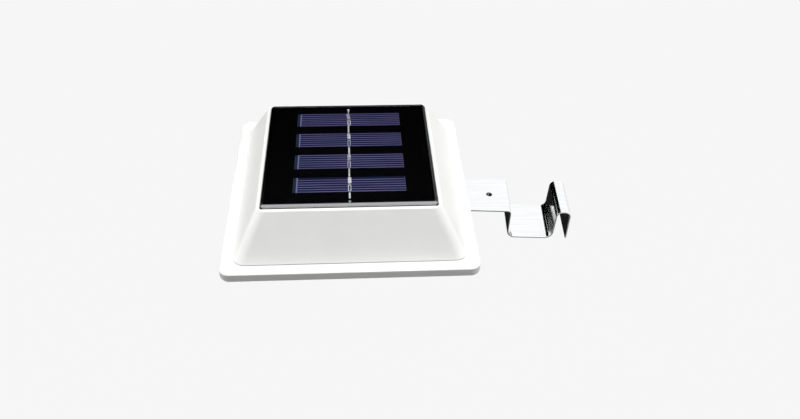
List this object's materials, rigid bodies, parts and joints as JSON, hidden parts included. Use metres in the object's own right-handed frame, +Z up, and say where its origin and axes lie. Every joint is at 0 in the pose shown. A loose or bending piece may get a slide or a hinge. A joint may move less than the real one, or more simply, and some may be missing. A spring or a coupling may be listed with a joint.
{
  "type": "fence energizer",
  "caption": "Small solar fence energizer: square white case with a sloping solar top, terminals underneath and a sprung steel clip that hooks it onto a rail.",
  "frame": {"origin": "centre of the base plate's flat underside", "axes": "+Z up through the solar panel, -Y the front, +X the side the mounting clip leaves from"},
  "size_m": [0.1741, 0.12, 0.0467],
  "materials": {
    "white_plastic": "satin white moulded casing",
    "grey_plastic": "matte grey",
    "black_plastic": "matte black",
    "red_plastic": "satin red",
    "green_plastic": "satin green",
    "rubber_seal": "matte black rubber",
    "foam_tape": "white foam tape",
    "panel_board": "black laminate",
    "solar_cell": "blue violet silicon with fine grid lines",
    "clear_resin": "clear glossy cast resin",
    "clear_plastic": "clear lens",
    "tinned_ribbon": "dull tinned copper ribbon",
    "polished_steel": "polished stainless spring strip",
    "plated_steel": "zinc plated",
    "brass": "turned brass",
    "circuit_board": "green solder mask",
    "ferrite": "dark grey ferrite",
    "winding_tape": "yellow insulating tape",
    "capacitor_case": "orange red moulded case",
    "battery_sleeve": "green plastic sleeve",
    "lamp_lens": "red lamp dome"
  },
  "bodies": {
    "clip": {"mounting_clip": "polished_steel"},
    "housing": {"top_shell": "white_plastic", "base_plate": "white_plastic", "base_gasket": "rubber_seal", "button_seal": "rubber_seal", "clip_friction_disc": "rubber_seal", "housing_screw_1": "plated_steel", "housing_screw_2": "plated_steel", "housing_screw_3": "plated_steel", "housing_screw_4": "plated_steel", "board_screw_1": "plated_steel", "board_screw_2": "plated_steel", "battery_contact_plus": "plated_steel", "battery_contact_spring": "plated_steel", "clip_screw": "plated_steel", "panel_adhesive": "foam_tape", "panel_board": "panel_board", "solar_cell_1": "solar_cell", "solar_cell_2": "solar_cell", "solar_cell_3": "solar_cell", "solar_cell_4": "solar_cell", "cell_ribbon": "tinned_ribbon", "panel_resin": "clear_resin", "panel_lead_plus": "red_plastic", "battery_lead_plus": "red_plastic", "live_lead": "red_plastic", "panel_lead_minus": "black_plastic", "battery_lead_minus": "black_plastic", "battery_tray": "black_plastic", "smoothing_capacitor": "black_plastic", "thyristor": "black_plastic", "control_chip": "black_plastic", "switch_body": "black_plastic", "earth_lead": "green_plastic", "battery_cell": "battery_sleeve", "circuit_board": "circuit_board", "transformer_core": "ferrite", "boost_coil": "ferrite", "transformer_winding": "winding_tape", "storage_capacitor": "capacitor_case", "live_terminal_collar": "grey_plastic", "earth_terminal_collar": "grey_plastic", "lamp_window": "clear_plastic", "pulse_lamp": "lamp_lens", "live_terminal_stud": "brass", "earth_terminal_stud": "brass", "clip_insert": "brass"},
    "power_button": {"button_cap": "black_plastic", "switch_plunger": "grey_plastic"},
    "battery_door": {"battery_door": "white_plastic", "battery_door_seal": "rubber_seal", "door_screw_1": "plated_steel", "door_screw_2": "plated_steel"},
    "live_washer": {"live_terminal_washer": "plated_steel"},
    "live_knob": {"live_terminal_knob": "red_plastic"},
    "earth_washer": {"earth_terminal_washer": "plated_steel"},
    "earth_knob": {"earth_terminal_knob": "green_plastic"}
  },
  "joints": [
    {"name": "clip_swivel", "type": "hinge", "parent": "clip", "child": "housing", "pos_m": [0.04, 0, 0], "axis": [0, 0, 1], "range_deg": [-19, 11]},
    {"name": "power_button_press", "type": "slide", "parent": "housing", "child": "power_button", "axis": [0, 0, 1], "range_m": [0, 0.0012], "stiffness_N_per_m": 900, "springref_m": -0.0008},
    {"name": "battery_door_lift", "type": "slide", "parent": "housing", "child": "battery_door", "axis": [0, 0, -1], "range_m": [0, 0.02]},
    {"name": "live_washer_slide", "type": "slide", "parent": "housing", "child": "live_washer", "axis": [0, 0, -1], "range_m": [0, 0.0024]},
    {"name": "live_knob_spin", "type": "hinge", "parent": "live_washer", "child": "live_knob", "pos_m": [-0.018, 0.039, -0.008], "axis": [0, 0, 1], "range_deg": [0, 1080]},
    {"name": "earth_washer_slide", "type": "slide", "parent": "housing", "child": "earth_washer", "axis": [0, 0, -1], "range_m": [0, 0.0024]},
    {"name": "earth_knob_spin", "type": "hinge", "parent": "earth_washer", "child": "earth_knob", "pos_m": [0.018, 0.039, -0.008], "axis": [0, 0, 1], "range_deg": [0, 1080]}
  ],
  "couplings": [
    {"joint": "live_knob_spin", "follows": "live_washer_slide", "rad_per_m": 7853},
    {"joint": "earth_knob_spin", "follows": "earth_washer_slide", "rad_per_m": 7853}
  ]
}
